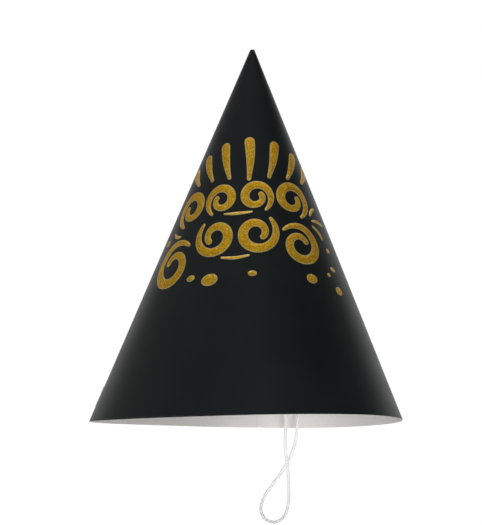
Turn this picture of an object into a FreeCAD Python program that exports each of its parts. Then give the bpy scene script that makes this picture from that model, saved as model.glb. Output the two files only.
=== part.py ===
import FreeCAD, Part
import Sketcher
import math
import os
from FreeCAD import Vector, Base

# New year party hat: a cone of rolled card with raised glitter print, and a round chin elastic.
# Millimetres, +Z towards the tip, origin at the middle of the head opening, in the rim's plane.
# The print faces -Y, and the glued seam is at the back, on +Y.

os.makedirs("parts", exist_ok=True)
doc = FreeCAD.newDocument("party_hat")

# ---------------------------------------------------------------- driving dimensions
DIMENSIONS = {
    "rim_radius": 75.0,          # outside of the card at the rim
    "apex_height": 184.0,        # where the outside cone would come to a point
    "tip_cut": 2.5,              # the card stops this far below that point
    "card_thickness": 0.35,
    "glue_thickness": 0.1,
    "seam_azimuth": 85.4,        # start of the blank, under the flap, from +X
    "flap_angle": 9.2,           # about 12 mm of overlap at the rim
    "ramp_angle": 4.0,           # where the blank climbs onto its own edge
    "glue_margin": 0.8,          # degrees of flap left without glue on each side
    "hole_radius": 1.25,
    "hole_height": 12.0,
    "hole_back": 6.1,            # the holes are this far behind the middle, out of sight from the front
    "print_thickness": 0.25,
    "barb_length": 11.0,
    "barb_width": 1.9,
    "barb_thickness": 0.8,
    "barb_gap": 0.05,
    "elastic_diameter": 1.4,
    "knot_half_width": 4.6,
    "knot_half_depth": 3.2,
    "knot_half_height": 3.4,
    "knot_centre": 22.8,         # along X from the hat's axis
    "knot_level": 6.2,
}
sheet = doc.addObject("Spreadsheet::Sheet", "driving")
sheet.Label = "driving dimensions"
for row, (alias, number) in enumerate(DIMENSIONS.items(), start=1):
    sheet.set(f"A{row}", alias)
    sheet.set(f"B{row}", str(number))
    sheet.setAlias(f"B{row}", alias)
doc.recompute()


def size(alias):
    return float(sheet.get(alias))


RIM = size("rim_radius")
APEX = size("apex_height")
HALF_ANGLE = math.atan2(RIM, APEX)
SLANT = math.hypot(RIM, APEX)
# A wall of thickness w is w / cos(half angle) wide when it is cut level.
LEVEL = "sqrt(driving.rim_radius^2 + driving.apex_height^2) / driving.apex_height"
CARD_TOP = "driving.apex_height - driving.tip_cut"
kept = []


def keep(item, name):
    item.Label = name
    kept.append((item, name))


def wall_x(height, y=0.0):
    """Where the card's outside is along X, at a height above the rim and a place along Y."""
    return math.sqrt((RIM * (APEX - height) / APEX) ** 2 - y ** 2)


# ---------------------------------------------------------------- the rolled cone
def origin_plane(body, role):
    return next(f for f in body.Origin.OriginFeatures if f.Role == role)


def wall_sketch(body, name, azimuth, inner, outer, low="0", high=CARD_TOP):
    """A slice of wall at an azimuth (an expression), between two offsets from the card's outside."""
    sketch = body.newObject("Sketcher::SketchObject", name)
    sketch.AttachmentSupport = [(origin_plane(body, "XZ_Plane"), "")]
    sketch.MapMode = "FlatFace"
    sketch.AttachmentOffset = FreeCAD.Placement(Vector(), FreeCAD.Rotation(Vector(0, 1, 0), 0))
    sketch.setExpression("AttachmentOffset.Rotation.Angle", azimuth)
    slope = "driving.rim_radius / driving.apex_height"
    corners = []
    for offset, z in ((inner, low), (outer, low), (outer, high), (inner, high)):
        x = f"driving.rim_radius - ({z}) * {slope} + ({offset}) * {LEVEL}"
        corners.append((x, z))
    start = [Vector(70, 0, 0), Vector(71, 0, 0), Vector(3, 170, 0), Vector(2, 170, 0)]
    for i in range(4):
        sketch.addGeometry(Part.LineSegment(start[i], start[(i + 1) % 4]), False)
    for i in range(4):
        sketch.addConstraint(Sketcher.Constraint("Coincident", i, 2, (i + 1) % 4, 1))
    for i, (x, z) in enumerate(corners):
        across = sketch.addConstraint(Sketcher.Constraint("DistanceX", -1, 1, i, 1, start[i].x))
        sketch.setExpression(f"Constraints[{across}]", x)
        if z == "0":
            sketch.addConstraint(Sketcher.Constraint("PointOnObject", i, 1, -1))
        else:
            up = sketch.addConstraint(Sketcher.Constraint("DistanceY", -1, 1, i, 1, start[i].y))
            sketch.setExpression(f"Constraints[{up}]", z)
    return sketch


def revolve(body, name, sketch, angle):
    turn = body.newObject("PartDesign::Revolution", name)
    turn.Profile = sketch
    turn.ReferenceAxis = (sketch, ["V_Axis"])
    turn.setExpression("Angle", angle)
    return turn


card = doc.addObject("PartDesign::Body", "cone_card")
lift = "(driving.card_thickness + driving.glue_thickness)"
flat = wall_sketch(card, "blank_start", "driving.seam_azimuth", "-driving.card_thickness", "0")
revolve(card, "blank", flat, "360 - driving.ramp_angle")
doc.recompute()
ramp_foot = wall_sketch(card, "ramp_foot", "driving.seam_azimuth - driving.ramp_angle",
                        "-driving.card_thickness", "0")
ramp_head = wall_sketch(card, "ramp_head", "driving.seam_azimuth",
                        f"{lift} - driving.card_thickness", lift)
ramp = card.newObject("PartDesign::AdditiveLoft", "ramp")
ramp.Profile = ramp_foot
ramp.Sections = [ramp_head]
ramp.Ruled = True
doc.recompute()
flap_start = wall_sketch(card, "flap_start", "driving.seam_azimuth",
                         f"{lift} - driving.card_thickness", lift)
revolve(card, "flap", flap_start, "driving.flap_angle")
doc.recompute()

punch = card.newObject("Sketcher::SketchObject", "punch")
punch.AttachmentSupport = [(origin_plane(card, "YZ_Plane"), "")]
punch.MapMode = "FlatFace"
punch.addGeometry(Part.Circle(Vector(6, 12, 0), Vector(0, 0, 1), 1.25), False)
back = punch.addConstraint(Sketcher.Constraint("DistanceX", -1, 1, 0, 3, 6.0))
punch.setExpression(f"Constraints[{back}]", "driving.hole_back")
level = punch.addConstraint(Sketcher.Constraint("DistanceY", -1, 1, 0, 3, 12.0))
punch.setExpression(f"Constraints[{level}]", "driving.hole_height")
radius = punch.addConstraint(Sketcher.Constraint("Radius", 0, 1.25))
punch.setExpression(f"Constraints[{radius}]", "driving.hole_radius")
unpunched = card.Shape.Volume
holes = card.newObject("PartDesign::Pocket", "elastic_holes")
holes.Profile = punch
holes.Type = "ThroughAll"
holes.Midplane = True
doc.recompute()
keep(card, "cone_card")

glue = doc.addObject("PartDesign::Body", "seam_glue")
film = wall_sketch(glue, "film", "driving.seam_azimuth + driving.glue_margin", "0",
                   "driving.glue_thickness", low="driving.tip_cut",
                   high="driving.apex_height - driving.tip_cut * 3")
revolve(glue, "film_turn", film, "driving.flap_angle - 2 * driving.glue_margin")
keep(glue, "seam_glue")
doc.recompute()

# ---------------------------------------------------------------- the barbs that anchor the elastic
# Each is a flat-pressed metal bar lying up the slant, against the outside of the card over its hole.
EDGE_ROUND = 0.35
bar = doc.addObject("Part::Box", "bar_blank")
for side, alias in (("Length", "thickness"), ("Width", "width"), ("Height", "length")):
    bar.setExpression(side, f"driving.barb_{alias}")
doc.recompute()
tilt = math.degrees(HALF_ANGLE)
hole = Vector(wall_x(size("hole_height"), size("hole_back")), size("hole_back"), size("hole_height"))
swing = math.degrees(math.atan2(hole.y, hole.x))
for name, facing, side in (("barb_right", swing, 1), ("barb_left", 180 - swing, -1)):
    barb = doc.addObject("Part::Fillet", name)
    barb.Base = bar
    barb.Edges = [(i + 1, EDGE_ROUND, EDGE_ROUND) for i in range(len(bar.Shape.Edges))]
    turn = FreeCAD.Rotation(Vector(0, 0, 1), facing) * FreeCAD.Rotation(Vector(0, 1, 0), -tilt)
    on_wall = Vector(side * hole.x, hole.y, hole.z)
    corner = Vector(size("barb_gap"), -size("barb_width") / 2, -size("barb_length") / 2)
    barb.Placement = FreeCAD.Placement(on_wall + turn.multVec(corner), turn)
    keep(barb, name)

# ---------------------------------------------------------------- the chin elastic
# It comes in level through both holes, sags across the opening to a gather knot that holds both
# strands, and its slack hangs under the knot as a small loop that crosses itself once.
END_CLEARANCE = 0.05
END_X = wall_x(size("hole_height") + size("elastic_diameter") / 2, hole.y + size("elastic_diameter") / 2)
END_X -= END_CLEARANCE
END_Y, END_Z = hole.y, hole.z
ROUTE = [
    (-END_X, END_Y, END_Z), (-62, END_Y, END_Z), (-50, 6.4, 10.1), (-31, 5.8, 7.9), (-11, 6.3, 6.7),
    (4, 6.1, 6.5), (13.8, 5.9, 7.4), (19.6, 5.7, 4.2), (19.3, 5.4, -4.4), (18.9, 5.1, -12.6),
    (20.2, 4.9, -21), (20.7, 5.2, -30), (20.8, 5.6, -38), (19.5, 6, -44.6), (14.9, 6.3, -48.6),
    (9.4, 6.5, -47.3), (6.7, 6.7, -42.2), (8.7, 6.9, -35.9), (12.7, 7.1, -30.3), (17.3, 7.2, -24.4),
    (21.4, 7.1, -17.6), (24.0, 6.8, -10.6), (24.9, 6.3, -3.6), (25.4, 6.2, 3.9), (31.4, 6, 7.9),
    (41, 5.7, 8.9), (52.6, 6.3, 10.3), (62, END_Y, END_Z), (END_X, END_Y, END_Z),
]
ARC_SHARE = 0.45


def rounded_path(points):
    """Straight runs joined by tangent arcs, each as large as its two runs allow."""
    edges, radii, start = [], [], points[0]
    for last, corner, following in zip(points, points[1:], points[2:]):
        back, ahead = last - corner, following - corner
        reach = ARC_SHARE * min(back.Length, ahead.Length)
        turn = math.pi - back.getAngle(ahead)
        back.normalize()
        ahead.normalize()
        enter, leave = corner + back * reach, corner + ahead * reach
        radius = reach / math.tan(turn / 2)
        towards_centre = (back + ahead).normalize()
        bulge = corner + towards_centre * (radius / math.cos(turn / 2) - radius)
        edges += [Part.LineSegment(start, enter).toShape(), Part.Arc(enter, bulge, leave).toShape()]
        radii.append(radius)
        start = leave
    edges.append(Part.LineSegment(start, points[-1]).toShape())
    return Part.Wire(edges), radii


path, bend_radii = rounded_path([Vector(*p) for p in ROUTE])
spine = doc.addObject("Part::Feature", "elastic_path")
spine.Shape = path
section = doc.addObject("Part::Circle", "elastic_section")
section.setExpression("Radius", "driving.elastic_diameter / 2")
section.Placement = FreeCAD.Placement(Vector(*ROUTE[0]), FreeCAD.Rotation(Vector(0, 1, 0), 90))
elastic = doc.addObject("Part::Sweep", "chin_elastic")
elastic.Sections = [section]
elastic.Spine = (spine, [f"Edge{i + 1}" for i in range(len(path.Edges))])
elastic.Solid = True
keep(elastic, "chin_elastic")

knot = doc.addObject("Part::Ellipsoid", "gather_knot")
for reach, alias in (("Radius1", "height"), ("Radius2", "width"), ("Radius3", "depth")):
    knot.setExpression(reach, f"driving.knot_half_{alias}")
knot.setExpression("Placement.Base.x", "driving.knot_centre")
knot.setExpression("Placement.Base.y", "driving.hole_back")
knot.setExpression("Placement.Base.z", "driving.knot_level")
keep(knot, "gather_knot")

# ---------------------------------------------------------------- the glitter print
# The motifs are drawn on the flat blank, in mm: x across the front, y up the slant from the rim.
# A stroke is its centre line with a half width at each point, and the card carries it round.


def dab(x, y, length, lean, width, bend=0.5):
    """Teardrop from its foot at (x, y) up to a fat round head, leaning clockwise from upright."""
    stroke, steps = [], 7
    along = Vector(math.sin(math.radians(lean)), math.cos(math.radians(lean)), 0)
    across = Vector(along.y, -along.x, 0)
    for i in range(steps):
        share = i / (steps - 1)
        point = along * length * share + across * bend * math.sin(math.pi * share)
        swell = 0.42 + 0.58 * math.sin(math.pi / 2 * share) ** 1.3
        stroke.append((x + point.x, y + point.y, width / 2 * swell))
    return stroke


def scroll(x, y, radius, start, sweep, width):
    """Scroll that winds in from the angle start through sweep, thin to thick, to a round end."""
    stroke, steps = [], 15
    for i in range(steps):
        share = i / (steps - 1)
        angle = math.radians(start + sweep * share)
        reach = radius * (1.12 - 0.72 * share ** 0.85)
        swell = 0.34 + 0.66 * abs(math.sin(math.pi * share ** 0.8)) ** 0.9 + 0.3 * share ** 6
        stroke.append((x + reach * math.cos(angle), y + 1.06 * reach * math.sin(angle), width / 2 * swell))
    return stroke


def swash(x0, y0, x1, y1, sag, width):
    """Thin line between two points, bowed by sag, that tapers towards both ends."""
    stroke, steps = [], 6
    span = Vector(x1 - x0, y1 - y0, 0)
    across = Vector(-span.y, span.x, 0).normalize()
    for i in range(steps):
        share = i / (steps - 1)
        bow = math.sin(math.pi * share)
        point = Vector(x0, y0, 0) + span * share + across * sag * bow
        stroke.append((point.x, point.y, width / 2 * (0.62 + 0.38 * bow)))
    return stroke


def mirrored(stroke, axis):
    return [(2 * axis - x, y, half) for x, y, half in stroke]


def stroke_outline(stroke):
    """Closed outline of a stroke: one side, a round end, the other side back, a round start."""
    steps = [Vector(bx - ax, by - ay, 0).normalize()
             for (ax, ay, _), (bx, by, _) in zip(stroke, stroke[1:])]
    ahead = [a + b for a, b in zip(steps, steps[1:])]
    ahead = [steps[0] * 3 - steps[1], *ahead, steps[-1] * 3 - steps[-2]]
    left, right = [], []
    for (x, y, half), along in zip(stroke, ahead):
        along.normalize()
        left.append((x - along.y * half, y + along.x * half))
        right.append((x + along.y * half, y - along.x * half))
    (x0, y0, half0), (x1, y1, half1) = stroke[0], stroke[-1]
    start = (x0 - ahead[0].x * half0, y0 - ahead[0].y * half0)
    end = (x1 + ahead[-1].x * half1, y1 + ahead[-1].y * half1)
    return [start, *left, end, *reversed(right)]


def dot_outline(x, y, across, up):
    """Oval dot with its two half widths."""
    return [(x + across * math.cos(math.pi * i / 4), y + up * math.sin(math.pi * i / 4)) for i in range(8)]


TOP_AXIS, MIDDLE_AXIS, LOW_AXIS = -0.5, -5.5, -6.5
rays = [dab(TOP_AXIS, 122.6, 20.6, 0, 4.9)]
for reach, foot, length, lean, width in ((9.6, 124.2, 18.2, 8, 4.7), (19, 125.6, 15, 16, 4.5),
                                         (28.2, 127, 11.5, 24, 4.3)):
    ray = dab(TOP_AXIS + reach, foot, length, lean, width)
    rays += [ray, mirrored(ray, TOP_AXIS)]

inner_middle = scroll(MIDDLE_AXIS - 8.3, 112.8, 7.2, 232, -440, 4.3)
outer_middle = scroll(MIDDLE_AXIS - 26.1, 114, 8.3, 236, -440, 4.6)
inner_low = scroll(LOW_AXIS - 10, 93.2, 9, 130, 440, 4.9)
scrolls = [
    inner_middle, mirrored(inner_middle, MIDDLE_AXIS), outer_middle, mirrored(outer_middle, MIDDLE_AXIS),
    inner_low, mirrored(inner_low, LOW_AXIS),
    scroll(LOW_AXIS - 35.2, 85.4, 11.4, 36, 460, 5.2), scroll(LOW_AXIS + 31.6, 89.6, 9.7, 144, -460, 4.8),
]
swashes = [swash(-13, 81.3, 0, 81.3, -0.9, 1.7), swash(-12, 104.6, 1, 104.6, -0.5, 1.6)]
sparks = [swash(31.6, 109.5, 35.2, 115.1, 0.5, 1.9), swash(32.9, 106.7, 41.5, 108.5, 0.6, 1.8),
          swash(33, 103.4, 39.5, 99.2, 0.8, 1.9), swash(-43.6, 105.4, -38.5, 101.2, -0.8, 1.7)]
dots = [(-29, 74, 2.3, 1.6), (-18.8, 70.6, 4.2, 3.1), (1.8, 71.8, 2.1, 1.5), (30.8, 73, 2.9, 2.5),
        (48, 72.8, 2.4, 2.2), (45, 84, 1.9, 1.1), (41.5, 79.2, 1.1, 1), (-49.6, 103.4, 1.6, 1.6),
        (43, 94, 1.3, 1.3)]

motifs = {"glitter_ray": rays, "glitter_scroll": scrolls, "glitter_line": swashes, "glitter_spark": sparks}
outlines = {f"{name}_{i}": stroke_outline(stroke)
            for name, strokes in motifs.items() for i, stroke in enumerate(strokes, start=1)}
outlines |= {f"glitter_dot_{i}": dot_outline(*dot) for i, dot in enumerate(dots, start=1)}

TOP = APEX - size("tip_cut")
card_outside = Part.Cone(Vector(0, 0, 0), Vector(0, 0, TOP), RIM, wall_x(TOP))
# Its angle starts at the back, so no motif crosses the line where the angle starts again.
card_outside.rotate(FreeCAD.Placement(Vector(), FreeCAD.Rotation(Vector(0, 0, 1), 180)))


def on_cone(x, y):
    """Angle from the back, and distance up the slant, of a point of the flat blank."""
    angle = math.pi + math.atan2(x, SLANT - y) / math.sin(HALF_ANGLE)
    return Base.Vector2d(angle, SLANT - math.hypot(x, SLANT - y))


EDGE_SPAN = 3


def printed_face(outline):
    """The smooth closed outline laid on the outside of the card, as edges that span a few points each."""
    lengths = [0.0]
    for p, q in zip(outline, outline[1:] + outline[:1]):
        lengths.append(lengths[-1] + math.dist(p, q))
    curve = Part.Geom2d.BSplineCurve2d()
    curve.interpolate(Points=[on_cone(*p) for p in outline], PeriodicFlag=True, Parameters=lengths)
    cuts = lengths[:-1:EDGE_SPAN] + lengths[-1:]
    return Part.Face(card_outside, Part.Wire([curve.toShape(card_outside, a, b) for a, b in zip(cuts, cuts[1:])]))


for name, outline in outlines.items():
    printed = doc.addObject("Part::Feature", f"{name}_face")
    printed.Shape = printed_face(outline)
    raised = doc.addObject("Part::Offset", name)
    raised.Source = printed
    raised.setExpression("Value", "driving.print_thickness")
    raised.Fill = True
    keep(raised, name)

# ---------------------------------------------------------------- checks and export
doc.recompute()
for item in doc.Objects:
    if "Invalid" in item.State or "Error" in item.State:
        raise RuntimeError(f"{item.Label} failed: {item.State}")
for item, name in kept:
    if item.Shape.isNull() or not item.Shape.isValid() or not item.Shape.Solids:
        raise RuntimeError(f"{name} has no valid solid")

bore = math.pi * (size("elastic_diameter") / 2) ** 2
print(f"elastic {path.Length:.1f} mm, volume {elastic.Shape.Volume:.2f} of {bore * path.Length:.2f} mm3")
print("elastic bend radii", [round(r, 1) for r in bend_radii])
runs = [math.dist(p, q) for p, q in zip(ROUTE, ROUTE[1:])]
print("elastic runs", [round(r, 1) for r in runs])
print(f"holes take {unpunched - card.Shape.Volume:.2f} mm3 of card")

for item, name in kept:
    item.Shape.exportStep(f"parts/{name}.step")
    print(name, round(item.Shape.Volume, 2), "mm3")
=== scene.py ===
# %% [markdown]
# # A new year party hat
# The hat is one sheet of black coated card, rolled into a cone and glued down the back. Gold glitter
# is printed on its front, and a round white elastic hangs from two holes in its sides. This lesson
# builds each of those pieces around a ready CAD model: the CAD gives every place and size, and
# Blender adds what a draughtsman leaves out, such as the way card sets, the grain of the glitter and
# the braid of the elastic.

# %% Load the frame
import bpy
import math
from mathutils import Matrix, Quaternion, Vector, noise


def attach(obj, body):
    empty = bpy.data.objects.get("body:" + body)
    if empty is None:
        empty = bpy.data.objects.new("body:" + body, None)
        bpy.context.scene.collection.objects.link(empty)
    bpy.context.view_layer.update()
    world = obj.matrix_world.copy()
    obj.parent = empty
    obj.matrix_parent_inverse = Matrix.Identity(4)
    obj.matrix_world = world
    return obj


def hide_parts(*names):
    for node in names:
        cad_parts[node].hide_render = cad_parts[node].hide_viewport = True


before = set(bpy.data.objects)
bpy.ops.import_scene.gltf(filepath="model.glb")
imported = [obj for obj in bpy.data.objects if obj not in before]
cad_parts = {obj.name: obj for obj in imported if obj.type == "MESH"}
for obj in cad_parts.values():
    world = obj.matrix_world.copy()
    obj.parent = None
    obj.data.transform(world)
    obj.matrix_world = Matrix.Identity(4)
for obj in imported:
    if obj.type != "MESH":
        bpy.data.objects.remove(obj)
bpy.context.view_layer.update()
bpy.ops.object.select_all(action="DESELECT")
MM = 0.001

# %% [markdown]
# ## The camera
# The camera stands about a metre away, just below the level of the rim, so that the rim is almost a
# straight line and a little of the white inside shows. A long lens from that distance keeps the
# cone's proportions true. The camera is tipped up by a few degrees to centre the hat.

# %% Camera
CAMERA_AT = Vector((-2.0, -1061.6, -42.1)) * MM
CAMERA_AIM = Vector((-2.0, 0, 76.8)) * MM
CAMERA_ROLL = -0.0024
LENS_LENGTH = 151.3
SENSOR_WIDTH = 36
NEAREST, FARTHEST = 0.01, 20
bpy.ops.object.camera_add(location=CAMERA_AT)
camera = bpy.context.object
camera.data.sensor_width = SENSOR_WIDTH
camera.data.lens = LENS_LENGTH
camera.data.clip_start, camera.data.clip_end = NEAREST, FARTHEST
look = (CAMERA_AIM - CAMERA_AT).to_track_quat("-Z", "Y")
camera.rotation_mode = "QUATERNION"
camera.rotation_quaternion = look @ Quaternion((0, 0, 1), CAMERA_ROLL)
bpy.context.scene.camera = camera
bpy.context.scene.view_settings.view_transform = "Standard"
print("camera looks up by", round(math.degrees(math.asin((CAMERA_AIM - CAMERA_AT).normalized().z)), 1))

# %% [markdown]
# ## The chin elastic's route
# An elastic is a limp cord. It comes in level through both side holes, sags across the opening, and
# an overhand knot gathers its two strands, so that the slack hangs below as a small loop that
# crosses itself once. The route is a short list of given control points for a NURBS curve. The
# curve passes near its points without touching them, as a real cord rounds its corners.

# %% Elastic route
ROUTE_MM = [
    (-69.9, 6.1, 12), (-62, 6.1, 12), (-50, 6.4, 10.1), (-31, 5.8, 7.9), (-11, 6.3, 6.7),
    (4, 6.1, 6.5), (13.8, 5.9, 7.4), (19.6, 5.7, 4.2), (19.3, 5.4, -4.4), (18.9, 5.1, -12.6),
    (20.2, 4.9, -21), (20.7, 5.2, -30), (20.8, 5.6, -38), (19.5, 6, -44.6), (14.9, 6.3, -48.6),
    (9.4, 6.5, -47.3), (6.7, 6.7, -42.2), (8.7, 6.9, -35.9), (12.7, 7.1, -30.3), (17.3, 7.2, -24.4),
    (21.4, 7.1, -17.6), (24.0, 6.8, -10.6), (24.9, 6.3, -3.6), (25.4, 6.2, 3.9), (31.4, 6, 7.9),
    (41, 5.7, 8.9), (52.6, 6.3, 10.3), (62, 6.1, 12), (70.1, 6.1, 12),
]
ELASTIC_THICK = 1.4 * MM
CURVE_STEPS = 48


def route_points():
    """Points along the smooth curve that the route's control points shape."""
    curve = bpy.data.curves.new("elastic_route", "CURVE")
    curve.dimensions = "3D"
    spline = curve.splines.new("NURBS")
    spline.points.add(len(ROUTE_MM) - 1)
    for point, place in zip(spline.points, ROUTE_MM):
        point.co = (*(v * MM for v in place), 1)
    spline.order_u = 3
    spline.use_endpoint_u = True
    curve.resolution_u = CURVE_STEPS
    holder = bpy.data.objects.new("elastic_route", curve)
    mesh = bpy.data.meshes.new_from_object(holder)
    points = [v.co.copy() for v in mesh.vertices]
    bpy.data.objects.remove(holder)
    return points


centreline = route_points()
curve_length = sum((b - a).length for a, b in zip(centreline, centreline[1:]))
print("elastic curve is", round(curve_length / MM, 1), "mm long")

# %% [markdown]
# ## The cone and how it sets
# Rolled card never keeps a perfect circle at its rim. Its glued seam is stiffer than the rest, so
# the rim springs into a slight oval and the tip leans a little. Card bends but doesn't stretch, so
# every straight line from the tip to the rim keeps its length. A function that turns each such line
# about the tip, and then leans the whole, gives that set to any point. Every piece on the card goes
# through the same function, so they all stay together.

# %% The card's set
RIM = 75 * MM
APEX = 184 * MM
SLANT = math.hypot(RIM, APEX)
HALF_ANGLE = math.atan2(RIM, APEX)
OVAL = 1.83 * MM
OVAL_ANGLE = math.radians(138)
LEAN = 3.84 * MM
WAVE = 0.35 * MM
WAVES_ROUND = 1.7
WAVES_ALONG = 9
CARD_THICK = 0.35 * MM


def settle(point):
    """Where a point of the perfect cone goes in the hat as it has set."""
    reach = Vector(point) - Vector((0, 0, APEX))
    far, turn = reach.length, math.atan2(point[1], point[0])
    wave = WAVE * noise.noise((math.cos(turn) * WAVES_ROUND, math.sin(turn) * WAVES_ROUND,
                               far * WAVES_ALONG))
    oval = OVAL * math.cos(2 * (turn - OVAL_ANGLE)) + wave
    spread = math.hypot(reach.x, reach.y) / far * (1 + oval / RIM)
    z = APEX - far * math.sqrt(1 - spread ** 2)
    return Vector((far * spread * math.cos(turn) + LEAN * z / APEX, far * spread * math.sin(turn), z))


def on_card(azimuth, along, lift=0.0):
    """Point of the perfect cone: azimuth from the front, way up the slant, height over the coating."""
    radius = (SLANT - along) * math.sin(HALF_ANGLE) + lift * math.cos(HALF_ANGLE)
    z = along * math.cos(HALF_ANGLE) + lift * math.sin(HALF_ANGLE)
    return Vector((radius * math.sin(azimuth), -radius * math.cos(azimuth), z))


tip_place = settle(on_card(0, SLANT - MM))
print("the tip leans", round(tip_place.x / MM, 2), "mm")

# %% [markdown]
# ## The chin elastic
# Round hat elastic is a core of rubber threads inside a tight white braid. A plain tube would look
# like a plastic wire, so the tube gets real relief: two sets of ridges that wind round it in
# opposite directions, and the higher of the two shows, as in a braid. The rings of the tube are
# carried along the curve without twisting, each one turned only as much as the curve itself turns.

# %% Elastic tube
RING_STEP = 0.2 * MM
RIDGES = 4
RIDGE_PITCH = 2.6 * MM
RIDGE_RELIEF = 0.05 * MM
LEAST_LAST_STEP = 0.3


def even_steps(points, step):
    """The same line with its points a step apart, and its own last point unless that is too close."""
    result, spare = [points[0].copy()], 0.0
    for start, end in zip(points, points[1:]):
        run = (end - start).length
        reach = step - spare
        while reach <= run:
            result.append(start.lerp(end, reach / run))
            reach += step
        spare = run - (reach - step)
    if (result[-1] - points[-1]).length > step * LEAST_LAST_STEP:
        result.append(points[-1].copy())
    return result


def braided_tube(name, points, thick, around=24, closed=False):
    """Mesh tube along the points, with a braid's ridges on it; a closed one runs back into its start."""
    count = len(points)
    before = [points[i - 1] if i or closed else points[0] for i in range(count)]
    after = [*points[1:], points[0] if closed else points[-1]]
    ahead = [(b - a).normalized() for a, b in zip(before, after)]
    sides, travel = [ahead[0].orthogonal().normalized()], [0.0]
    for i in range(1, count):
        sides.append((ahead[i - 1].rotation_difference(ahead[i]) @ sides[-1]).normalized())
        travel.append(travel[-1] + (points[i] - points[i - 1]).length)
    twist, pitch, whole = 0.0, RIDGE_PITCH, travel[-1]
    if closed:
        home = ahead[-1].rotation_difference(ahead[0]) @ sides[-1]
        twist = math.atan2(ahead[0].dot(home.cross(sides[0])), home.dot(sides[0]))
        whole += (points[0] - points[-1]).length
        pitch = whole / round(whole / RIDGE_PITCH)
    verts, faces = [], []
    for centre, tangent, side, far in zip(points, ahead, sides, travel):
        up = tangent.cross(side)
        wind = 2 * math.pi * far / pitch
        for j in range(around):
            angle = 2 * math.pi * j / around
            ridge = max(math.sin(RIDGES * angle + wind), math.sin(RIDGES * angle - wind))
            reach = thick / 2 - RIDGE_RELIEF + RIDGE_RELIEF * ridge
            turn = angle + twist * far / whole
            verts.append(centre + (side * math.cos(turn) + up * math.sin(turn)) * reach)
    for i in range(count if closed else count - 1):
        here, there = i * around, (i + 1) % count * around
        for j in range(around):
            k = (j + 1) % around
            faces.append((here + j, here + k, there + k, there + j))
    if not closed:
        faces += [tuple(range(around))[::-1], tuple((count - 1) * around + j for j in range(around))]
    mesh = bpy.data.meshes.new(name)
    mesh.from_pydata(verts, [], faces)
    tube = bpy.data.objects.new(name, mesh)
    bpy.context.collection.objects.link(tube)
    return tube


def finish_mesh(piece, angle=40):
    """Weld doubles, turn the faces outwards and shade smooth except across edges over the angle."""
    bpy.ops.object.select_all(action="DESELECT")
    bpy.context.view_layer.objects.active = piece
    piece.select_set(True)
    bpy.ops.object.mode_set(mode="EDIT")
    bpy.ops.mesh.select_all(action="SELECT")
    bpy.ops.mesh.remove_doubles(threshold=1e-6)
    bpy.ops.mesh.normals_make_consistent(inside=False)
    bpy.ops.mesh.select_all(action="DESELECT")
    bpy.ops.object.mode_set(mode="OBJECT")
    bpy.ops.object.shade_smooth_by_angle(angle=math.radians(angle))


elastic = braided_tube("chin_elastic_braid", even_steps(centreline, RING_STEP), ELASTIC_THICK)
finish_mesh(elastic)
print("elastic tube has", len(elastic.data.polygons), "faces")

# %% [markdown]
# ## The gather knot
# The slack is taken up by an overhand knot tied in both strands together. Pulled tight, it is a
# lump of three lobes, so its line is a trefoil, the shape that an overhand knot makes when its ends
# are joined. The knot sits where the strands of the elastic's own curve come together. The tube
# that follows it is closed, so the small twist that its rings have gathered on the way round is
# shared out along it, and the pitch of its ridges divides its length evenly.

# %% Knot
HOLE_BACK = 6.1 * MM
KNOT_HALF = Vector((4.6, 3.2, 3.4)) * MM
KNOT_LEVEL = 6.2 * MM
KNOT_ROOM_X = (18 * MM, 27 * MM)
KNOT_ROOM_Z = (3.5 * MM, 8 * MM)
KNOT_STEPS = 160
KNOT_SWELL = 1.05
TREFOIL_WIDTH, TREFOIL_HEIGHT, TREFOIL_RAISE = 2.8, 2.7, 0.4

near_knot = [p for p in centreline
             if KNOT_ROOM_X[0] < p.x < KNOT_ROOM_X[1] and KNOT_ROOM_Z[0] < p.z < KNOT_ROOM_Z[1]]
knot_x = sum(p.x for p in near_knot) / len(near_knot)
knot_centre = Vector((knot_x, HOLE_BACK, KNOT_LEVEL))


def knot_line():
    """Closed overhand line that fills the knot's room."""
    room = KNOT_HALF - Vector((1, 1, 1)) * ELASTIC_THICK / 2
    line = []
    for i in range(KNOT_STEPS):
        t = 2 * math.pi * i / KNOT_STEPS
        across = (math.sin(t) + 2 * math.sin(2 * t)) / TREFOIL_WIDTH
        upward = (math.cos(t) - 2 * math.cos(2 * t) + TREFOIL_RAISE) / TREFOIL_HEIGHT
        deep = -math.sin(3 * t)
        line.append(knot_centre + Vector((across * room.x, deep * room.y, upward * room.z)))
    return line


knot = braided_tube("gather_knot_overhand", knot_line(), ELASTIC_THICK * KNOT_SWELL, closed=True)
finish_mesh(knot)
print("knot is centred at", [round(v / MM, 1) for v in knot_centre])

for piece, node in ((elastic, "chin_elastic"), (knot, "gather_knot")):
    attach(piece, "strap")
    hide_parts(node)

# %% [markdown]
# ## The rolled card
# The hat is one flat blank, so it is modelled in the way that it is made. One straight edge, from
# the rim to the tip, is spun about the hat's axis. Just short of a full turn the sheet has to climb
# over its own edge, so the last columns are spun one by one and lifted a little each time. The flap
# that is left is the glued overlap. A boolean or a ready cone would have no seam to find.

# %% Card sheet
SEAM = math.radians(85.4)
RAMP = math.radians(4)
FLAP = math.radians(9.2)
GLUE_THICK = 0.1 * MM
FLAP_LIFT = CARD_THICK + GLUE_THICK
TIP_CUT = 2.5 * MM
SLANT_CUTS = 59
BLANK_STEPS = 316
RAMP_STEPS = 8
FLAP_STEPS = 10


def outward(turn):
    """Direction straight out of the cone's wall, at a turn from +X."""
    return Vector((math.cos(HALF_ANGLE) * math.cos(turn), math.cos(HALF_ANGLE) * math.sin(turn),
                   math.sin(HALF_ANGLE)))


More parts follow.
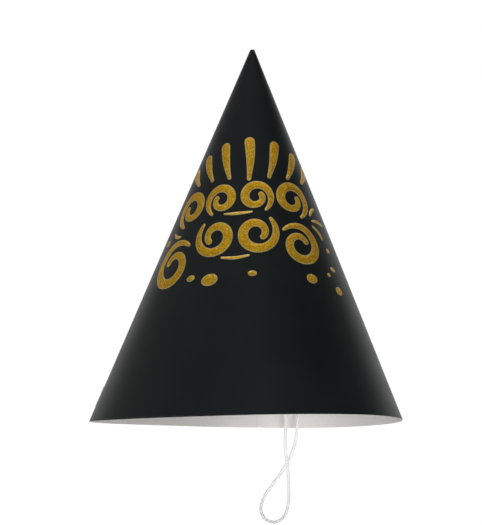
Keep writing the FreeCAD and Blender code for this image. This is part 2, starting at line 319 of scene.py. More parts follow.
def straight_edge(name, foot, head, cuts):
    """New object with one straight edge from foot to head, cut into equal parts, in edit mode."""
    bpy.ops.object.select_all(action="DESELECT")
    bpy.ops.mesh.primitive_plane_add(size=1)
    line = bpy.context.object
    line.name = name
    bpy.ops.object.mode_set(mode="EDIT")
    bpy.ops.mesh.select_mode(type="VERT")
    bpy.ops.mesh.select_all(action="DESELECT")
    bpy.ops.object.mode_set(mode="OBJECT")
    line.data.vertices[2].select = line.data.vertices[3].select = True
    bpy.ops.object.mode_set(mode="EDIT")
    bpy.ops.mesh.delete(type="VERT")
    bpy.ops.object.mode_set(mode="OBJECT")
    line.data.vertices[0].co = foot
    line.data.vertices[1].co = head
    bpy.ops.object.mode_set(mode="EDIT")
    bpy.ops.mesh.select_all(action="SELECT")
    bpy.ops.mesh.subdivide(number_cuts=cuts)
    return line


def wall_point(turn, z, lift=0.0):
    """Point of the perfect cone at a turn from +X and a height, lifted off the coating."""
    radius = RIM * (APEX - z) / APEX
    return Vector((radius * math.cos(turn), radius * math.sin(turn), z)) + outward(turn) * lift


def spin(angle, steps):
    """Spin the selection anticlockwise about the hat's axis, which takes a negative angle."""
    bpy.ops.mesh.spin(steps=steps, angle=-angle, center=(0, 0, 0), axis=(0, 0, 1), use_auto_merge=False)


card = straight_edge("card_cone", wall_point(SEAM, 0), wall_point(SEAM, APEX - TIP_CUT), SLANT_CUTS)
spin(2 * math.pi - RAMP, BLANK_STEPS)
for step in range(RAMP_STEPS):
    spin(RAMP / RAMP_STEPS, 1)
    climb = [(3 * s ** 2 - 2 * s ** 3) * FLAP_LIFT for s in (step / RAMP_STEPS, (step + 1) / RAMP_STEPS)]
    turn = SEAM - RAMP + RAMP * (step + 1) / RAMP_STEPS
    bpy.ops.transform.translate(value=outward(turn) * (climb[1] - climb[0]))
spin(FLAP, FLAP_STEPS)
bpy.ops.object.mode_set(mode="OBJECT")
ends = [v.co for v in card.data.vertices if v.select]
flap_end = min(ends, key=lambda co: co.z)
print("flap ends at", round(math.degrees(math.atan2(flap_end.y, flap_end.x)), 1), "degrees,",
      round((math.hypot(flap_end.x, flap_end.y) - RIM) / MM, 2), "mm proud, in",
      len(card.data.vertices), "points")

# %% [markdown]
# The sheet now takes its set, and small hand-made unevenness with it: card that has been rolled,
# packed and unrolled again is never free of faint waves, and on a satin black coating they are what
# breaks up the long reflections. A Solidify modifier gives the board its thickness inwards, with
# one material for the coating, one for the bare inside and one for the cut edge. One long cylinder
# and an exact Boolean then punch both holes, and the cylinder's material becomes their cut wall.

# %% Card thickness and its two punched holes
HOLE_HEIGHT = 12 * MM
HOLE_RADIUS = 1.25 * MM
HOLE_SIDES = 32
SMOOTH_BELOW = 30
COAT, INSIDE, CUT = 0, 1, 2
coat_finish = bpy.data.materials.new("black_satin_coat")
inside_finish = bpy.data.materials.new("bare_white_board")
cut_finish = bpy.data.materials.new("cut_board_edge")


def apply_modifier(piece, name, kind, **settings):
    """Add a modifier with its settings and apply it at once."""
    bpy.ops.object.select_all(action="DESELECT")
    piece.select_set(True)
    bpy.context.view_layer.objects.active = piece
    modifier = piece.modifiers.new(name, kind)
    for key, value in settings.items():
        setattr(modifier, key, value)
    bpy.ops.object.modifier_apply(modifier=name)


def settle_piece(piece):
    for vertex in piece.data.vertices:
        vertex.co = settle(vertex.co)


for finish in (coat_finish, inside_finish, cut_finish):
    card.data.materials.append(finish)
settle_piece(card)
finish_mesh(card, angle=SMOOTH_BELOW)
middle = card.data.polygons[len(card.data.polygons) // 2]
if middle.normal.dot(middle.center * Vector((1, 1, 0))) < 0:
    card.data.flip_normals()
apply_modifier(card, "board", "SOLIDIFY", thickness=CARD_THICK, offset=-1, use_even_offset=True,
               material_offset=INSIDE - COAT, material_offset_rim=CUT - COAT)

bpy.ops.object.select_all(action="DESELECT")
bpy.ops.mesh.primitive_cylinder_add(vertices=HOLE_SIDES, radius=HOLE_RADIUS, depth=4 * RIM,
                                    location=(0, HOLE_BACK, HOLE_HEIGHT), rotation=(0, math.pi / 2, 0))
punch = bpy.context.object
for finish in (coat_finish, inside_finish, cut_finish):
    punch.data.materials.append(finish)
for face in punch.data.polygons:
    face.material_index = CUT
apply_modifier(card, "holes", "BOOLEAN", object=punch, operation="DIFFERENCE", solver="EXACT")
bpy.data.objects.remove(punch)
bpy.ops.object.shade_smooth_by_angle(angle=math.radians(SMOOTH_BELOW))
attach(card, "hat")
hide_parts("cone_card")
places = [[v.co[i] / MM for v in card.data.vertices] for i in range(3)]
print("card spans", [(round(min(row), 1), round(max(row), 1)) for row in places], "mm, in",
      len(card.data.polygons), "faces")

# %% [markdown]
# ## The seam's glue
# The overlap is held by a thin film of white glue. It shows only as a pale line along the flap's
# edge, where a little has squeezed out, so the film is a strip of its own, spun in the same way. A
# noise makes its outer edge wander by a fraction of a millimetre.

# %% Glue film
GLUE_MARGIN = math.radians(0.8)
FILM_LEVEL = GLUE_THICK * 0.95
FILM_THICK = GLUE_THICK * 0.9
OUTER_EDGE = SEAM + FLAP - 1.5 * GLUE_MARGIN
SQUEEZE, SQUEEZE_SWING, SQUEEZE_WAVES = 0.85, 0.9, 170

glue = straight_edge("seam_glue_film", wall_point(SEAM + GLUE_MARGIN, TIP_CUT),
                     wall_point(SEAM + GLUE_MARGIN, APEX - 3 * TIP_CUT), SLANT_CUTS)
spin(FLAP - 2 * GLUE_MARGIN, FLAP_STEPS)
bpy.ops.object.mode_set(mode="OBJECT")
for vertex in glue.data.vertices:
    turn = math.atan2(vertex.co.y, vertex.co.x)
    if turn > OUTER_EDGE:
        squeeze = SQUEEZE + SQUEEZE_SWING * noise.noise(vertex.co * SQUEEZE_WAVES)
        vertex.co = Matrix.Rotation(GLUE_MARGIN * squeeze, 3, "Z") @ vertex.co
    vertex.co += outward(turn) * FILM_LEVEL
settle_piece(glue)
finish_mesh(glue, angle=SMOOTH_BELOW)
middle = glue.data.polygons[len(glue.data.polygons) // 2]
if middle.normal.y < 0:
    glue.data.flip_normals()
apply_modifier(glue, "film", "SOLIDIFY", thickness=FILM_THICK, offset=-1)
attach(glue, "hat")
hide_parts("seam_glue")
print("glue film has", len(glue.data.polygons), "faces")

# %% [markdown]
# ## The barbs
# Each end of a hat elastic is clamped in a small strip of tinned metal. It goes through the hole
# end-on and then lies flat across it, up the slant of the card, so it can't pull back. The bar
# starts as a flat grid: one side of the grid becomes the bar's length and the other is wrapped
# right round it. The ends are rounded, and three crimp dents in the middle show where the tool
# closed the strip on the elastic.

# %% Barbs
BARB_LENGTH = 11 * MM
BARB_WIDTH = 1.9 * MM
BARB_THICK = 0.55 * MM
BARB_GAP = 0.05 * MM
BARB_ROWS, BARB_SIDES = 56, 28
END_ROUND, END_THINNED, END_POWER = 0.9 * MM, 0.45 * MM, 2.2
FLATNESS_ACROSS, FLATNESS_UP = 0.55, 0.6
CRIMP_SPACING = 1.7 * MM
CRIMP_WIDTH = 0.38 * MM
CRIMP_DEPTH = 0.22
CRIMP_NECK = 0.05
LAP_DEPTH, LAP_PLACE, LAP_WIDTH = 0.06 * MM, 0.15, 0.06


def card_axes(azimuth, along):
    """Matrix at a point of the settled card: X along the rim, Y up the slant, Z outwards."""
    step = 0.5 * MM
    here = settle(on_card(azimuth, along))
    up = (settle(on_card(azimuth, along + step)) - here).normalized()
    level = (settle(on_card(azimuth + step / RIM, along)) - here).normalized()
    out = level.cross(up).normalized()
    level = up.cross(out)
    axes = Matrix((level, up, out)).transposed().to_4x4()
    axes.translation = here
    return axes


def pulled_in(size, from_end, stretch):
    """Size of the bar near its end, drawn in over the last stretch of its length."""
    return size * (1 - max(0, 1 - from_end / stretch) ** END_POWER) ** 0.5


def flattened(wave, power):
    """A sine or cosine pushed towards its ends, which turns a circle into a rounded square."""
    return math.copysign(abs(wave) ** power, wave)


def pressed_bar(name):
    """Flat bar along Y with rounded ends and a crimped middle."""
    bpy.ops.object.select_all(action="DESELECT")
    bpy.ops.mesh.primitive_grid_add(x_subdivisions=BARB_ROWS, y_subdivisions=BARB_SIDES, size=1)
    bar = bpy.context.object
    bar.name = name
    for vertex in bar.data.vertices:
        share, angle = vertex.co.x + 0.5, 2 * math.pi * (vertex.co.y + 0.5)
        x = (share - 0.5) * BARB_LENGTH
        from_end = min(share, 1 - share) * BARB_LENGTH
        width = pulled_in(BARB_WIDTH, from_end, END_ROUND)
        thick = pulled_in(BARB_THICK, from_end, END_THINNED)
        dent = sum(math.exp(-((x - k * CRIMP_SPACING) / CRIMP_WIDTH) ** 2) for k in (-1, 0, 1))
        across = flattened(math.cos(angle), FLATNESS_ACROSS)
        height = flattened(math.sin(angle), FLATNESS_UP)
        lap = LAP_DEPTH * math.exp(-((across - LAP_PLACE) / LAP_WIDTH) ** 2) if height > 0 else 0
        vertex.co = (across * width / 2 * (1 - CRIMP_NECK * dent), x,
                     height * thick / 2 * (1 - CRIMP_DEPTH * dent * max(0, height)) - lap)
    finish_mesh(bar, angle=50)
    return bar


barb_along = HOLE_HEIGHT / math.cos(HALF_ANGLE)
hole_turn = math.pi / 2 + math.asin(HOLE_BACK / wall_point(0, HOLE_HEIGHT).x)
for name, azimuth in (("barb_right", hole_turn), ("barb_left", -hole_turn)):
    barb = pressed_bar(f"{name}_crimped")
    lift = Matrix.Translation((0, 0, BARB_GAP + BARB_THICK / 2))
    barb.data.transform(card_axes(azimuth, barb_along) @ lift)
    barb.data.update()
    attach(barb, "hat")
    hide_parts(name)
    middle = sum((v.co for v in barb.data.vertices), Vector()) / len(barb.data.vertices)
    print(name, "is centred at", [round(v / MM, 1) for v in middle])

# %% [markdown]
# ## The glitter print
# The ornament is a spray of teardrops over paired scrolls, with short dashes and dots round it. It
# is printed as raised glue dusted with gold glitter. Each motif is one stroke: a centre line with a
# width at every step. The print is drawn on the flat blank, in mm across the front and up the
# slant, and the roll of the card carries it round, so nothing has to be projected or cut.
#
# Each stroke becomes one grid. Its rows follow the stroke and turn round a half circle at both
# ends, and its columns run across: side wall, pale border, then the raised glitter. A grid keeps
# the border the same width everywhere, which a filled outline would not.

# %% Strokes
FACES_PER_MM = 2.2
DAB_FOOT, DAB_SWELL = 0.42, 1.3
SCROLL_START, SCROLL_END = 1.12, 0.72
SCROLL_FOOT, SCROLL_HEAD = 0.34, 0.3
SCROLL_TALL = 1.06
SWASH_TIP = 0.62


def dab(x, y, length, lean, width, bend=0.5):
    """Teardrop from its foot at (x, y) up to a fat round head, leaning clockwise from upright."""
    stroke, steps = [], int(length * FACES_PER_MM)
    along = Vector((math.sin(math.radians(lean)), math.cos(math.radians(lean))))
    across = Vector((along.y, -along.x))
    for i in range(steps + 1):
        share = i / steps
        point = along * length * share + across * bend * math.sin(math.pi * share)
        swell = DAB_FOOT + (1 - DAB_FOOT) * math.sin(math.pi / 2 * share) ** DAB_SWELL
        stroke.append((x + point.x, y + point.y, width / 2 * swell))
    return stroke


def scroll(x, y, radius, start, sweep, width):
    """Scroll that winds in from the angle start through sweep, thin to thick, to a round end."""
    stroke, steps = [], int(radius * math.radians(abs(sweep)) * 0.7 * FACES_PER_MM)
    for i in range(steps + 1):
        share = i / steps
        angle = math.radians(start + sweep * share)
        reach = radius * (SCROLL_START - SCROLL_END * share ** 0.85)
        belly = abs(math.sin(math.pi * share ** 0.8)) ** 0.9
        swell = SCROLL_FOOT + (1 - SCROLL_FOOT) * belly + SCROLL_HEAD * share ** 6
        height = y + SCROLL_TALL * reach * math.sin(angle)
        stroke.append((x + reach * math.cos(angle), height, width / 2 * swell))
    return stroke


def swash(x0, y0, x1, y1, sag, width):
    """Thin line between two points, bowed by sag, that tapers towards both ends."""
    span = Vector((x1 - x0, y1 - y0))
    stroke, steps = [], int(span.length * FACES_PER_MM)
    across = Vector((-span.y, span.x)).normalized()
    for i in range(steps + 1):
        share = i / steps
        bow = math.sin(math.pi * share)
        point = Vector((x0, y0)) + span * share + across * sag * bow
        stroke.append((point.x, point.y, width / 2 * (SWASH_TIP + (1 - SWASH_TIP) * bow)))
    return stroke


def mirrored(stroke, axis):
    """The same stroke on the other side of an upright line."""
    return [(2 * axis - x, y, half) for x, y, half in stroke]


# %% The ornament
TOP_AXIS, MIDDLE_AXIS, LOW_AXIS = -0.5, -5.5, -6.5
rays = [dab(TOP_AXIS, 122.6, 20.6, 0, 4.9)]
for reach, foot, length, lean, width in ((9.6, 124.2, 18.2, 8, 4.7), (19, 125.6, 15, 16, 4.5),
                                         (28.2, 127, 11.5, 24, 4.3)):
    ray = dab(TOP_AXIS + reach, foot, length, lean, width)
    rays += [ray, mirrored(ray, TOP_AXIS)]

inner_middle = scroll(MIDDLE_AXIS - 8.3, 112.8, 7.2, 232, -440, 4.3)
outer_middle = scroll(MIDDLE_AXIS - 26.1, 114, 8.3, 236, -440, 4.6)
inner_low = scroll(LOW_AXIS - 10, 93.2, 9, 130, 440, 4.9)
scrolls = [
    inner_middle, mirrored(inner_middle, MIDDLE_AXIS), outer_middle, mirrored(outer_middle, MIDDLE_AXIS),
    inner_low, mirrored(inner_low, LOW_AXIS),
    scroll(LOW_AXIS - 35.2, 85.4, 11.4, 36, 460, 5.2), scroll(LOW_AXIS + 31.6, 89.6, 9.7, 144, -460, 4.8),
]
swashes = [swash(-13, 81.3, 0, 81.3, -0.9, 1.7), swash(-12, 104.6, 1, 104.6, -0.5, 1.6)]
sparks = [swash(31.6, 109.5, 35.2, 115.1, 0.5, 1.9), swash(32.9, 106.7, 41.5, 108.5, 0.6, 1.8),
          swash(33, 103.4, 39.5, 99.2, 0.8, 1.9), swash(-43.6, 105.4, -38.5, 101.2, -0.8, 1.7)]
dots = [(-29, 74, 2.3, 1.6), (-18.8, 70.6, 4.2, 3.1), (1.8, 71.8, 2.1, 1.5), (30.8, 73, 2.9, 2.5),
        (48, 72.8, 2.4, 2.2), (45, 84, 1.9, 1.1), (41.5, 79.2, 1.1, 1), (-49.6, 103.4, 1.6, 1.6),
        (43, 94, 1.3, 1.3)]
print(len(rays), "teardrops,", len(scrolls), "scrolls,", len(swashes + sparks), "dashes and",
      len(dots), "dots")

# %% Rows of a stroke
CAP_STEPS = 6
LEAST_TURNS, TURNS_PER_MM = 10, 6


def stroke_rows(stroke):
    """Rows of a stroke's grid: centre, way ahead, half widths along and across, angle round the cap."""
    points = [Vector((x, y)) for x, y, half in stroke]
    last = len(points) - 1
    rows = []
    for i, point in enumerate(points):
        ahead = (points[min(i + 1, last)] - points[max(i - 1, 0)]).normalized()
        half = stroke[i][2]
        if i == 0:
            rows += [(point, ahead, half, half, math.pi / 2 * k / CAP_STEPS) for k in range(CAP_STEPS)]
        rows.append((point, ahead, half, half, math.pi / 2))
        if i == last:
            rows += [(point, ahead, half, half, math.pi / 2 * (1 + k / CAP_STEPS))
                     for k in range(1, CAP_STEPS + 1)]
    return rows


def dot_rows(x, y, across, up):
    """Rows of an oval dot's grid: all at its centre, turning from one end round to the other."""
    turns = max(LEAST_TURNS, int(across * TURNS_PER_MM))
    return [(Vector((x, y)), Vector((1, 0)), across, up, math.pi * k / turns) for k in range(turns + 1)]


# %% [markdown]
# The print's section is a low wall, a border half a millimetre wide where the glue ran out past
# the glitter, and a raised middle. Glitter makes the middle lumpy, so its points are pushed up and
# down by a fine noise. The distance from the edge is stored on each point, so that the finish can
# tell border from glitter.

# %% Printed pieces
BORDER = 0.5
BORDER_SHARE = 0.5
EDGE_LEAN = 0.03
DOME_STEPS = (0.9, 0.68, 0.45, 0.22, 0)
EDGE_HEIGHT = 0.13 * MM
BORDER_HEIGHT = 0.16 * MM
GLITTER_HEIGHT = 0.27 * MM
LUMP = 0.035 * MM
LUMPS_PER_MM = 2.3
SINK = -0.03 * MM


def section(half):
    """Columns across half a stroke, from its underside's middle to its top: reach, height, inset."""
    border = min(BORDER, half * BORDER_SHARE)
    inner = half - border
    columns = [(0, SINK, half), (half, SINK, 0), (half - EDGE_LEAN, EDGE_HEIGHT, EDGE_LEAN),
               (half - border / 2, BORDER_HEIGHT, border / 2), (inner, BORDER_HEIGHT, border)]
    for share in DOME_STEPS:
        height = BORDER_HEIGHT + (GLITTER_HEIGHT - BORDER_HEIGHT) * (1 - share ** 3)
        columns.append((inner * share, height, half - inner * share))
    return columns


def printed_piece(name, rows):
    """Mesh of one motif on the card, built as a grid of rows and columns that is closed all round."""
    across = 2 * len(section(1)) - 2
    bpy.ops.object.select_all(action="DESELECT")
    bpy.ops.mesh.primitive_grid_add(x_subdivisions=len(rows) - 1, y_subdivisions=across, size=1)
    motif = bpy.context.object
    motif.name = name
    inset = motif.data.attributes.new("inset", "FLOAT", "POINT")
    for vertex in motif.data.vertices:
        row = round((vertex.co.x + 0.5) * (len(rows) - 1))
        centre, ahead, along_half, across_half, angle = rows[row]
        column = round((vertex.co.y + 0.5) * across)
        side = 1 if column < across / 2 else -1
        scale = along_half / across_half
        reach, height, depth = section(across_half)[min(column, across - column)]
        left = Vector((-ahead.y, ahead.x))
        flat = centre - ahead * reach * scale * math.cos(angle) + left * side * reach * math.sin(angle)
        inset.data[vertex.index].value = depth
        if depth > 0.9 * min(BORDER, across_half * BORDER_SHARE) and height > 0:
            height += LUMP * noise.noise((flat.x * LUMPS_PER_MM, flat.y * LUMPS_PER_MM, height / MM))
        azimuth = math.atan2(flat.x * MM, SLANT - flat.y * MM) / math.sin(HALF_ANGLE)
        along = SLANT - math.hypot(flat.x * MM, SLANT - flat.y * MM)
        vertex.co = settle(on_card(azimuth, along, height))
    finish_mesh(motif, angle=60)
    motif.data.materials.append(glitter_finish)
    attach(motif, "hat")
    return motif


glitter_finish = bpy.data.materials.new("gold_glitter_print")
motifs = {"ray": rays, "scroll": scrolls, "line": swashes, "spark": sparks}
drawn = [(f"{name}_{i}", stroke_rows(stroke))
         for name, strokes in motifs.items() for i, stroke in enumerate(strokes, start=1)]
drawn += [(f"dot_{i}", dot_rows(*dot)) for i, dot in enumerate(dots, start=1)]
printed = []
for name, rows in drawn:
    motif = printed_piece(f"gold_{name}", rows)
    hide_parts(f"glitter_{name}")
    printed.append(motif)
print(len(printed), "motifs,", sum(len(m.data.polygons) for m in printed), "faces")

# %% [markdown]
# ## Finishes: black satin coating
# The card is coated black and then matt-varnished. Nearly all that is seen of it is reflection, so
# the base colour is almost black and the work is in the roughness: blurred enough for no clear
# reflection, with faint mottling, and with the fibre of the board just showing through as bump.
# The coating has cracked and turned a little grey where the board was cut, at the rim and the tip.

# %% Helpers for finishes


def node_tree(finish):
    """Nodes, links, the shader and object coordinates of a material that starts empty but for them."""
    finish.use_nodes = True
    nodes, links = finish.node_tree.nodes, finish.node_tree.links
    place = nodes.new("ShaderNodeTexCoord")
    return nodes, links, nodes["Principled BSDF"], place.outputs["Object"]


def noise_node(nodes, links, coords, scale, detail=2.0, roughness=0.5, stretch=(1, 1, 1)):
    """Noise pattern on the object's coordinates; the scale is in repeats per metre."""
    mapping = nodes.new("ShaderNodeMapping")
    mapping.inputs["Scale"].default_value = stretch
    links.new(coords, mapping.inputs["Vector"])
    texture = nodes.new("ShaderNodeTexNoise")
    texture.inputs["Scale"].default_value = scale
    texture.inputs["Detail"].default_value = detail
    texture.inputs["Roughness"].default_value = roughness
    links.new(mapping.outputs["Vector"], texture.inputs["Vector"])
    return texture.outputs["Fac"]


def remap(nodes, links, value, low, high, to_low=0.0, to_high=1.0):
    """Stretch values between low and high to a new range, held at its ends."""
    ramp = nodes.new("ShaderNodeMapRange")
    for socket, number in (("From Min", low), ("From Max", high), ("To Min", to_low), ("To Max", to_high)):
        ramp.inputs[socket].default_value = number
    links.new(value, ramp.inputs["Value"])
    return ramp.outputs["Result"]


def mix_colours(nodes, links, share, low, high):
    """Blend two colours, or two colour outputs, by a share from 0 to 1."""
    mix = nodes.new("ShaderNodeMix")
    mix.data_type = "RGBA"
    links.new(share, mix.inputs["Factor"])
    for socket, colour in (("A", low), ("B", high)):
        target = next(i for i in mix.inputs if i.name == socket and i.type == "RGBA")
        if isinstance(colour, tuple):
            target.default_value = (*colour, 1)
        else:
            links.new(colour, target)
    return next(o for o in mix.outputs if o.type == "RGBA")


def combine(nodes, links, kind, *values):
    """Math node on outputs or plain numbers."""
    node = nodes.new("ShaderNodeMath")
    node.operation = kind
    for socket, value in zip(node.inputs, values):
        if isinstance(value, (int, float)):
            socket.default_value = value
        else:
            links.new(value, socket)
    return node.outputs[0]


def bump(nodes, links, height, distance, strength=1.0, below=None):
    """Bump from a height pattern; the distance is how far in metres its full range stands up."""
    node = nodes.new("ShaderNodeBump")
    node.inputs["Strength"].default_value = strength
    node.inputs["Distance"].default_value = distance
    links.new(height, node.inputs["Height"])
    if below:
        links.new(below, node.inputs["Normal"])
    return node.outputs["Normal"]


def vector_maths(nodes, links, kind, first, second):
    """Vector maths node on an output and another output or plain vector."""
    node = nodes.new("ShaderNodeVectorMath")
    node.operation = kind
    links.new(first, node.inputs[0])
    if isinstance(second, (tuple, Vector)):
        node.inputs[1].default_value = second
    else:
        links.new(second, node.inputs[1])
    return node


def paint(links, shader, colour, roughness, normal):
    """Plug a finish's patterns into its shader."""
    links.new(colour, shader.inputs["Base Color"])
    links.new(roughness, shader.inputs["Roughness"])
    links.new(normal, shader.inputs["Normal"])


# %% Black coating
BLACK, SOFT_BLACK, WORN = (0.0012, 0.0040, 0.0042), (0.0022, 0.0056, 0.0058), (0.03, 0.03, 0.029)
WORN_RIM = (0.1 * MM, 0.4 * MM)
WORN_TIP = 1.2 * TIP_CUT

nodes, links, shader, coords = node_tree(coat_finish)
height = nodes.new("ShaderNodeSeparateXYZ")
links.new(coords, height.inputs["Vector"])
level = height.outputs["Z"]
fibre = noise_node(nodes, links, coords, 900, 4, 0.6)
mottle = noise_node(nodes, links, coords, 55, 3, 0.55)
speck = noise_node(nodes, links, coords, 2600, 2, 0.5)
near_rim = remap(nodes, links, level, *WORN_RIM, 1, 0)
near_tip = remap(nodes, links, level, APEX - TIP_CUT - WORN_TIP, APEX - TIP_CUT, 0, 1)
worn = combine(nodes, links, "MAXIMUM", near_rim, near_tip)
broken = remap(nodes, links, noise_node(nodes, links, coords, 420, 4, 0.65), 0.46, 0.62)
wear = combine(nodes, links, "MULTIPLY", worn, broken)
black = mix_colours(nodes, links, mottle, BLACK, SOFT_BLACK)
sheen = remap(nodes, links, mottle, 0.3, 0.7, 0.34, 0.40)
fine = remap(nodes, links, speck, 0.3, 0.7, -0.02, 0.03)
worn_rough = combine(nodes, links, "MULTIPLY", wear, 0.3)
rough = combine(nodes, links, "ADD", combine(nodes, links, "ADD", sheen, fine), worn_rough)
grain = bump(nodes, links, speck, 0.012 * MM, 0.5, bump(nodes, links, fibre, 0.03 * MM, 0.5))
paint(links, shader, mix_colours(nodes, links, wear, black, WORN), rough, grain)
print(coat_finish.name, "has", len(nodes), "nodes")

# %% [markdown]
# ## Finishes: bare board
# Inside, the board is uncoated: white, quite matt, a little greyer where fibres lie close. Its cut
# edge shows the layers of the board as fine lines, and is a touch darker than the face.

# %% Board inside and cut edge
BOARD, BOARD_PALE, BOARD_DULL = (0.70, 0.69, 0.665), (0.82, 0.81, 0.79), (0.66, 0.65, 0.64)
LAYER_DARK, LAYER_PALE = (0.34, 0.33, 0.31), (0.72, 0.71, 0.68)

nodes, links, shader, coords = node_tree(inside_finish)
fibre = noise_node(nodes, links, coords, 1100, 5, 0.65, (1, 1, 0.35))
cloud = noise_node(nodes, links, coords, 45, 3, 0.5)
paper = mix_colours(nodes, links, fibre, BOARD, BOARD_PALE)
toned = mix_colours(nodes, links, remap(nodes, links, cloud, 0.3, 0.7, 0, 0.25), paper, BOARD_DULL)
rough = remap(nodes, links, fibre, 0.3, 0.7, 0.82, 0.94)
paint(links, shader, toned, rough, bump(nodes, links, fibre, 0.05 * MM, 0.6))
shader.inputs["Specular IOR Level"].default_value = 0.3
print(inside_finish.name, "has", len(nodes), "nodes")

nodes, links, shader, coords = node_tree(cut_finish)
layers = noise_node(nodes, links, coords, 2400, 3, 0.6, (0.2, 0.2, 1.6))
striped = mix_colours(nodes, links, layers, LAYER_DARK, LAYER_PALE)
rough = remap(nodes, links, layers, 0.3, 0.7, 0.8, 0.95)
paint(links, shader, striped, rough, bump(nodes, links, layers, 0.04 * MM, 0.7))
print(cut_finish.name, "has", len(nodes), "nodes")

# %% [markdown]
# ## Finishes: gold glitter
# Glitter is thousands of small flat flakes, each tipped its own way. A Voronoi pattern gives every
# point the centre and a random colour of its own cell. The slope of a flake is made from those: the
# height at a point is its distance from the cell's centre along a random direction, so every cell
# becomes a flat facet. The cell's colour also picks the flake's gold, from copper to pale brass, and
# its roughness. Along the border there is only glue with fine gold dust, which is paler and less
# metallic, and the inset stored on each point tells the finish where that border ends.

# %% Glitter
FLAKES_PER_METRE = 2300
COPPER, GOLD, PALE_BRASS = (0.62, 0.31, 0.006), (0.88, 0.52, 0.022), (1.0, 0.73, 0.14)
DUST, PALE_DUST = (0.56, 0.41, 0.12), (0.84, 0.66, 0.29)
BORDER_ENDS = (0.36, 0.5)

nodes, links, shader, coords = node_tree(glitter_finish)
cells = nodes.new("ShaderNodeTexVoronoi")
cells.inputs["Scale"].default_value = FLAKES_PER_METRE
links.new(coords, cells.inputs["Vector"])
shift = vector_maths(nodes, links, "SUBTRACT", coords, cells.outputs["Position"])
lean = vector_maths(nodes, links, "SUBTRACT", cells.outputs["Color"], (0.5, 0.5, 0.5))
facet = vector_maths(nodes, links, "DOT_PRODUCT", shift.outputs["Vector"], lean.outputs["Vector"])
parts = nodes.new("ShaderNodeSeparateColor")
links.new(cells.outputs["Color"], parts.inputs["Color"])
red, green, blue = (parts.outputs[name] for name in ("Red", "Green", "Blue"))
copper_to_gold = mix_colours(nodes, links, remap(nodes, links, red, 0, 0.75), COPPER, GOLD)
flake = mix_colours(nodes, links, remap(nodes, links, blue, 0.84, 0.96), copper_to_gold, PALE_BRASS)
dust = noise_node(nodes, links, coords, 1800, 3, 0.6)
pale = mix_colours(nodes, links, dust, DUST, PALE_DUST)
depth = nodes.new("ShaderNodeAttribute")
depth.attribute_name = "inset"
ragged = remap(nodes, links, noise_node(nodes, links, coords, 1500, 2, 0.5), 0.3, 0.7, -0.16, 0.16)
inside = combine(nodes, links, "ADD", depth.outputs["Fac"], ragged)
glittered = remap(nodes, links, inside, *BORDER_ENDS)
links.new(remap(nodes, links, glittered, 0, 1, 0.7, 1.0), shader.inputs["Metallic"])
tilted = bump(nodes, links, facet.outputs["Value"], 1.0, 0.4)
paint(links, shader, mix_colours(nodes, links, glittered, pale, flake),
      remap(nodes, links, green, 0, 1, 0.34, 0.62), tilted)
print(glitter_finish.name, "has", len(nodes), "nodes")

# %% [markdown]
# ## Finishes: elastic, metal and glue
# The braid is bright white yarn with a faint sheen, its threads a little uneven in colour and
# duller in patches where it has been handled. The barbs are tinned steel strip, brushed along
# their length and tarnished in spots. The glue is an off-white film full of tiny bubbles.

# %% Elastic
YARN, YARN_PALE, YARN_SOILED = (0.74, 0.74, 0.73), (0.90, 0.90, 0.89), (0.78, 0.77, 0.74)

yarn_finish = bpy.data.materials.new("white_braided_yarn")
nodes, links, shader, coords = node_tree(yarn_finish)
thread = noise_node(nodes, links, coords, 3200, 3, 0.6)
patch = noise_node(nodes, links, coords, 220, 2, 0.5)
yarn = mix_colours(nodes, links, thread, YARN, YARN_PALE)
soiled = mix_colours(nodes, links, remap(nodes, links, patch, 0.4, 0.8, 0, 0.3), yarn, YARN_SOILED)
rough = remap(nodes, links, thread, 0.3, 0.7, 0.6, 0.8)
paint(links, shader, soiled, rough, bump(nodes, links, thread, 0.04 * MM, 0.5))
shader.inputs["Sheen Weight"].default_value = 0.25
for piece in (elastic, knot):
    piece.data.materials.append(yarn_finish)
print(yarn_finish.name, "has", len(nodes), "nodes")

# %% Metal and glue
TIN, TARNISH = (0.66, 0.66, 0.65), (0.42, 0.40, 0.37)
GLUE_DULL, GLUE_PALE = (0.62, 0.60, 0.55), (0.78, 0.77, 0.73)

tin_finish = bpy.data.materials.new("tinned_steel_strip")
nodes, links, shader, coords = node_tree(tin_finish)
brushed = noise_node(nodes, links, coords, 1600, 3, 0.6, (1, 0.12, 1))
tarnish = noise_node(nodes, links, coords, 500, 3, 0.5)
tin = mix_colours(nodes, links, remap(nodes, links, tarnish, 0.45, 0.75), TIN, TARNISH)
shader.inputs["Metallic"].default_value = 1.0
rough = remap(nodes, links, brushed, 0.3, 0.7, 0.24, 0.42)
paint(links, shader, tin, rough, bump(nodes, links, brushed, 0.02 * MM, 0.5))
for name in ("barb_right_crimped", "barb_left_crimped"):
    bpy.data.objects[name].data.materials.append(tin_finish)

glue_finish = bpy.data.materials.new("dried_white_glue")
nodes, links, shader, coords = node_tree(glue_finish)
bubbles = noise_node(nodes, links, coords, 1300, 3, 0.6)
paint(links, shader, mix_colours(nodes, links, bubbles, GLUE_DULL, GLUE_PALE),
      remap(nodes, links, bubbles, 0.3, 0.7, 0.3, 0.5), bump(nodes, links, bubbles, 0.04 * MM, 0.6))
glue.data.materials.append(glue_finish)
print(tin_finish.name, "and", glue_finish.name, "are on the barbs and the glue")

# %% [markdown]
# ## Floor, surroundings and light
# Black satin card shows its surroundings more than its own colour, so nearly all the light is in
# the room itself: every direction has its own brightness, as in a studio of softboxes. The room is
# a dim even grey, darker in front and to the right, with a bright panel high up, a brighter wall
# behind, and a low strip along the horizon in front. The backdrop that the camera sees directly is
# plain white. Two narrow lamps, low in front, then light what the black card must not show: the
# white inside of the mouth and the elastic's loop.

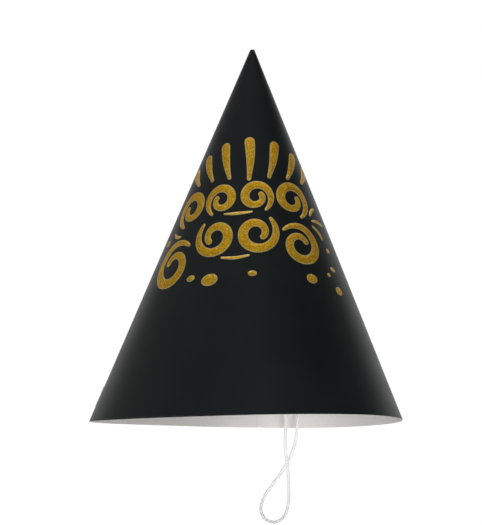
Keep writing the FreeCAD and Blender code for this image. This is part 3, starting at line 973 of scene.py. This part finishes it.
# %% Floor
FLOOR_LEVEL = -0.11
FLOOR_RADIUS, FLOOR_SIDES = 6, 96
SWEEP, SWEEP_PALE = (0.88, 0.88, 0.88), (0.90, 0.90, 0.90)

bpy.ops.object.select_all(action="DESELECT")
bpy.ops.mesh.primitive_circle_add(vertices=FLOOR_SIDES, radius=FLOOR_RADIUS, fill_type="NGON",
                                  location=(0, 0, FLOOR_LEVEL))
floor = bpy.context.object
floor.name = "studio_floor"
bpy.ops.object.transform_apply(location=True)
floor_finish = bpy.data.materials.new("white_paper_sweep")
nodes, links, shader, coords = node_tree(floor_finish)
sweep = noise_node(nodes, links, coords, 6, 2, 0.5)
links.new(mix_colours(nodes, links, sweep, SWEEP, SWEEP_PALE), shader.inputs["Base Color"])
shader.inputs["Roughness"].default_value = 0.9
floor.data.materials.append(floor_finish)
print("floor is", round(-FLOOR_LEVEL / MM), "mm below the rim")

# %% Surroundings
ROOM_GLOW = 0.2
BACKDROP = 1.02
STRIP_GLOW = 9
PANEL_GLOW = 5.5
WALL_GLOW = 0.5

world = bpy.data.worlds.new("studio")
bpy.context.scene.world = world
world.use_nodes = True
nodes, links = world.node_tree.nodes, world.node_tree.links
background = nodes["Background"]
background.inputs["Color"].default_value = (1, 1, 1, 1)
place = nodes.new("ShaderNodeTexCoord")


def towards(direction, low, high, at_low, at_high):
    """Value that runs from at_low to at_high while a direction of the room nears the given one."""
    dot = vector_maths(nodes, links, "DOT_PRODUCT", place.outputs["Generated"],
                       Vector(direction).normalized())
    return remap(nodes, links, dot.outputs["Value"], low, high, at_low, at_high)


dark_right = towards((0.75, -0.15, 0.6), 0.55, 0.98, 1.0, 0.3)
dark_front = towards((0, -0.65, 0.75), 0.6, 1.0, 1.0, 0.78)
bright_wall = towards((0.1, 0.98, 0.12), 0.6, 1.0, 0.0, WALL_GLOW)
panel = towards((0, 0.3, 0.95), 0.92, 0.96, 0.0, PANEL_GLOW)
level = combine(nodes, links, "ABSOLUTE", towards((0, 0, 1), -1, 1, -1, 1))
strip = combine(nodes, links, "MULTIPLY", remap(nodes, links, level, 0.03, 0.08, STRIP_GLOW, 0),
                towards((0, -1, 0), 0.86, 0.92, 0, 1))
darker = combine(nodes, links, "MULTIPLY", dark_right, dark_front)
room = combine(nodes, links, "MULTIPLY", darker, ROOM_GLOW)
for light in (bright_wall, panel, strip):
    room = combine(nodes, links, "ADD", room, light)
seen = nodes.new("ShaderNodeLightPath")
glow = nodes.new("ShaderNodeMix")
links.new(seen.outputs["Is Camera Ray"], glow.inputs["Factor"])
links.new(room, glow.inputs["A"])
glow.inputs["B"].default_value = BACKDROP
links.new(glow.outputs["Result"], background.inputs["Strength"])
print("room has", len(nodes), "nodes")

# %% Two small low lamps, for the mouth and for the loop
LAMP_PLACE = (0.03, -0.9, -0.09)
LAMP_BEAM = math.radians(5)
LAMP_RADIUS = 0.03
LAMP_POWER = 16


def low_lamp(name, target):
    """Narrow spot from low in front, aimed at a point, that leaves the black card alone."""
    bpy.ops.object.light_add(type="SPOT", location=LAMP_PLACE)
    lamp = bpy.context.object
    lamp.name = name
    lamp.data.energy = LAMP_POWER
    lamp.data.spot_size = LAMP_BEAM
    lamp.data.spot_blend = 1
    lamp.data.shadow_soft_size = LAMP_RADIUS
    lamp.rotation_mode = "QUATERNION"
    lamp.rotation_quaternion = (Vector(target) - lamp.location).to_track_quat("-Z", "Y")
    return lamp


mouth_lamp = low_lamp("mouth_lamp", (0.032, 0.072, 0))
loop_lamp = low_lamp("loop_lamp", (0.012, 0.006, -0.035))
print("lamps:", mouth_lamp.name, loop_lamp.name)
